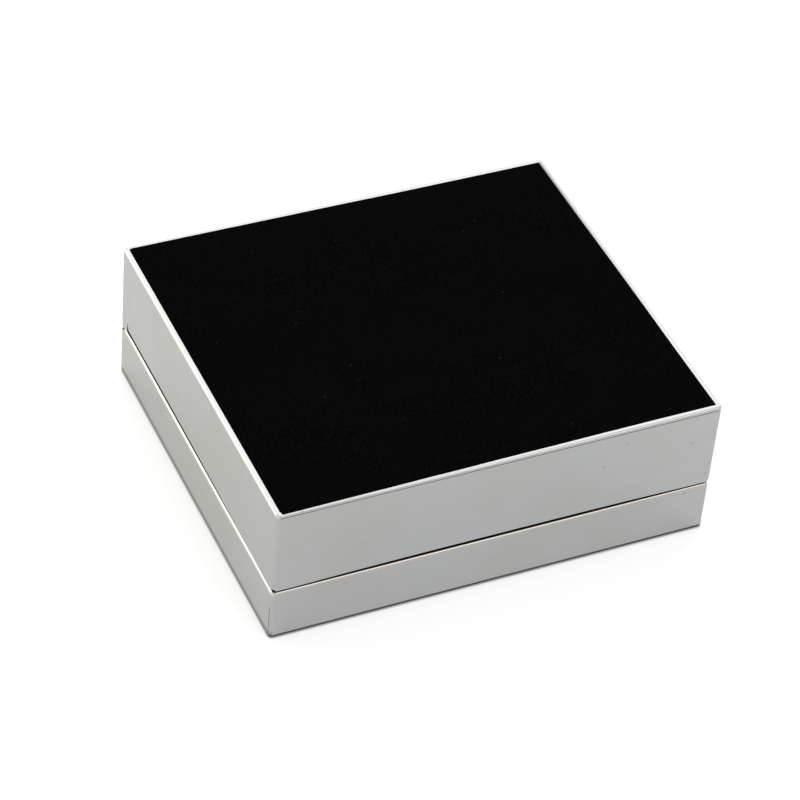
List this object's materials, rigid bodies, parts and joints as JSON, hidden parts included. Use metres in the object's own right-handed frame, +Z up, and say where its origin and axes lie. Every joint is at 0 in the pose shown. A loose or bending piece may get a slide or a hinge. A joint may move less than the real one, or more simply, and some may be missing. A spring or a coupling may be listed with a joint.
{
  "type": "cufflink display box",
  "caption": "Hinged silver-plated box with a black velvet panel let into the lid and velvet cushion rolls inside that hold cufflinks between them.",
  "frame": {"origin": "centre of the underside, where the felt rests on the table", "axes": "+X to the right along the front face, +Y from the front towards the hinge, +Z up"},
  "size_m": [0.1, 0.0886, 0.0352],
  "materials": {
    "silver_plate": "polished silver plate on folded sheet",
    "velvet": "short black velvet pile",
    "felt": "thin black felt",
    "board": "grey board",
    "foam": "dark foam"
  },
  "bodies": {
    "base": {"base_shell": "silver_plate", "base_felt": "felt", "floor_board": "board", "base_lining_front": "velvet", "base_lining_back": "velvet", "base_lining_left": "velvet", "base_lining_right": "velvet", "roll_cover_1": "velvet", "roll_cover_2": "velvet", "roll_cover_3": "velvet", "roll_cover_4": "velvet", "roll_cover_5": "velvet", "roll_core_1": "foam", "roll_core_2": "foam", "roll_core_3": "foam", "roll_core_4": "foam", "roll_core_5": "foam", "base_hinge_leaf": "silver_plate", "hinge_pin": "silver_plate"},
    "lid": {"lid_shell": "silver_plate", "lid_board": "board", "lid_velvet_panel": "velvet", "lid_ceiling_pad": "velvet", "lid_lining_front": "velvet", "lid_lining_back": "velvet", "lid_lining_left": "velvet", "lid_lining_right": "velvet", "lid_hinge_leaf": "silver_plate"}
  },
  "joints": [
    {"name": "lid_hinge", "type": "hinge", "parent": "base", "child": "lid", "pos_m": [0, 0.0434, 0.01315], "axis": [-1, 0, 0], "range_deg": [0, 95]}
  ]
}
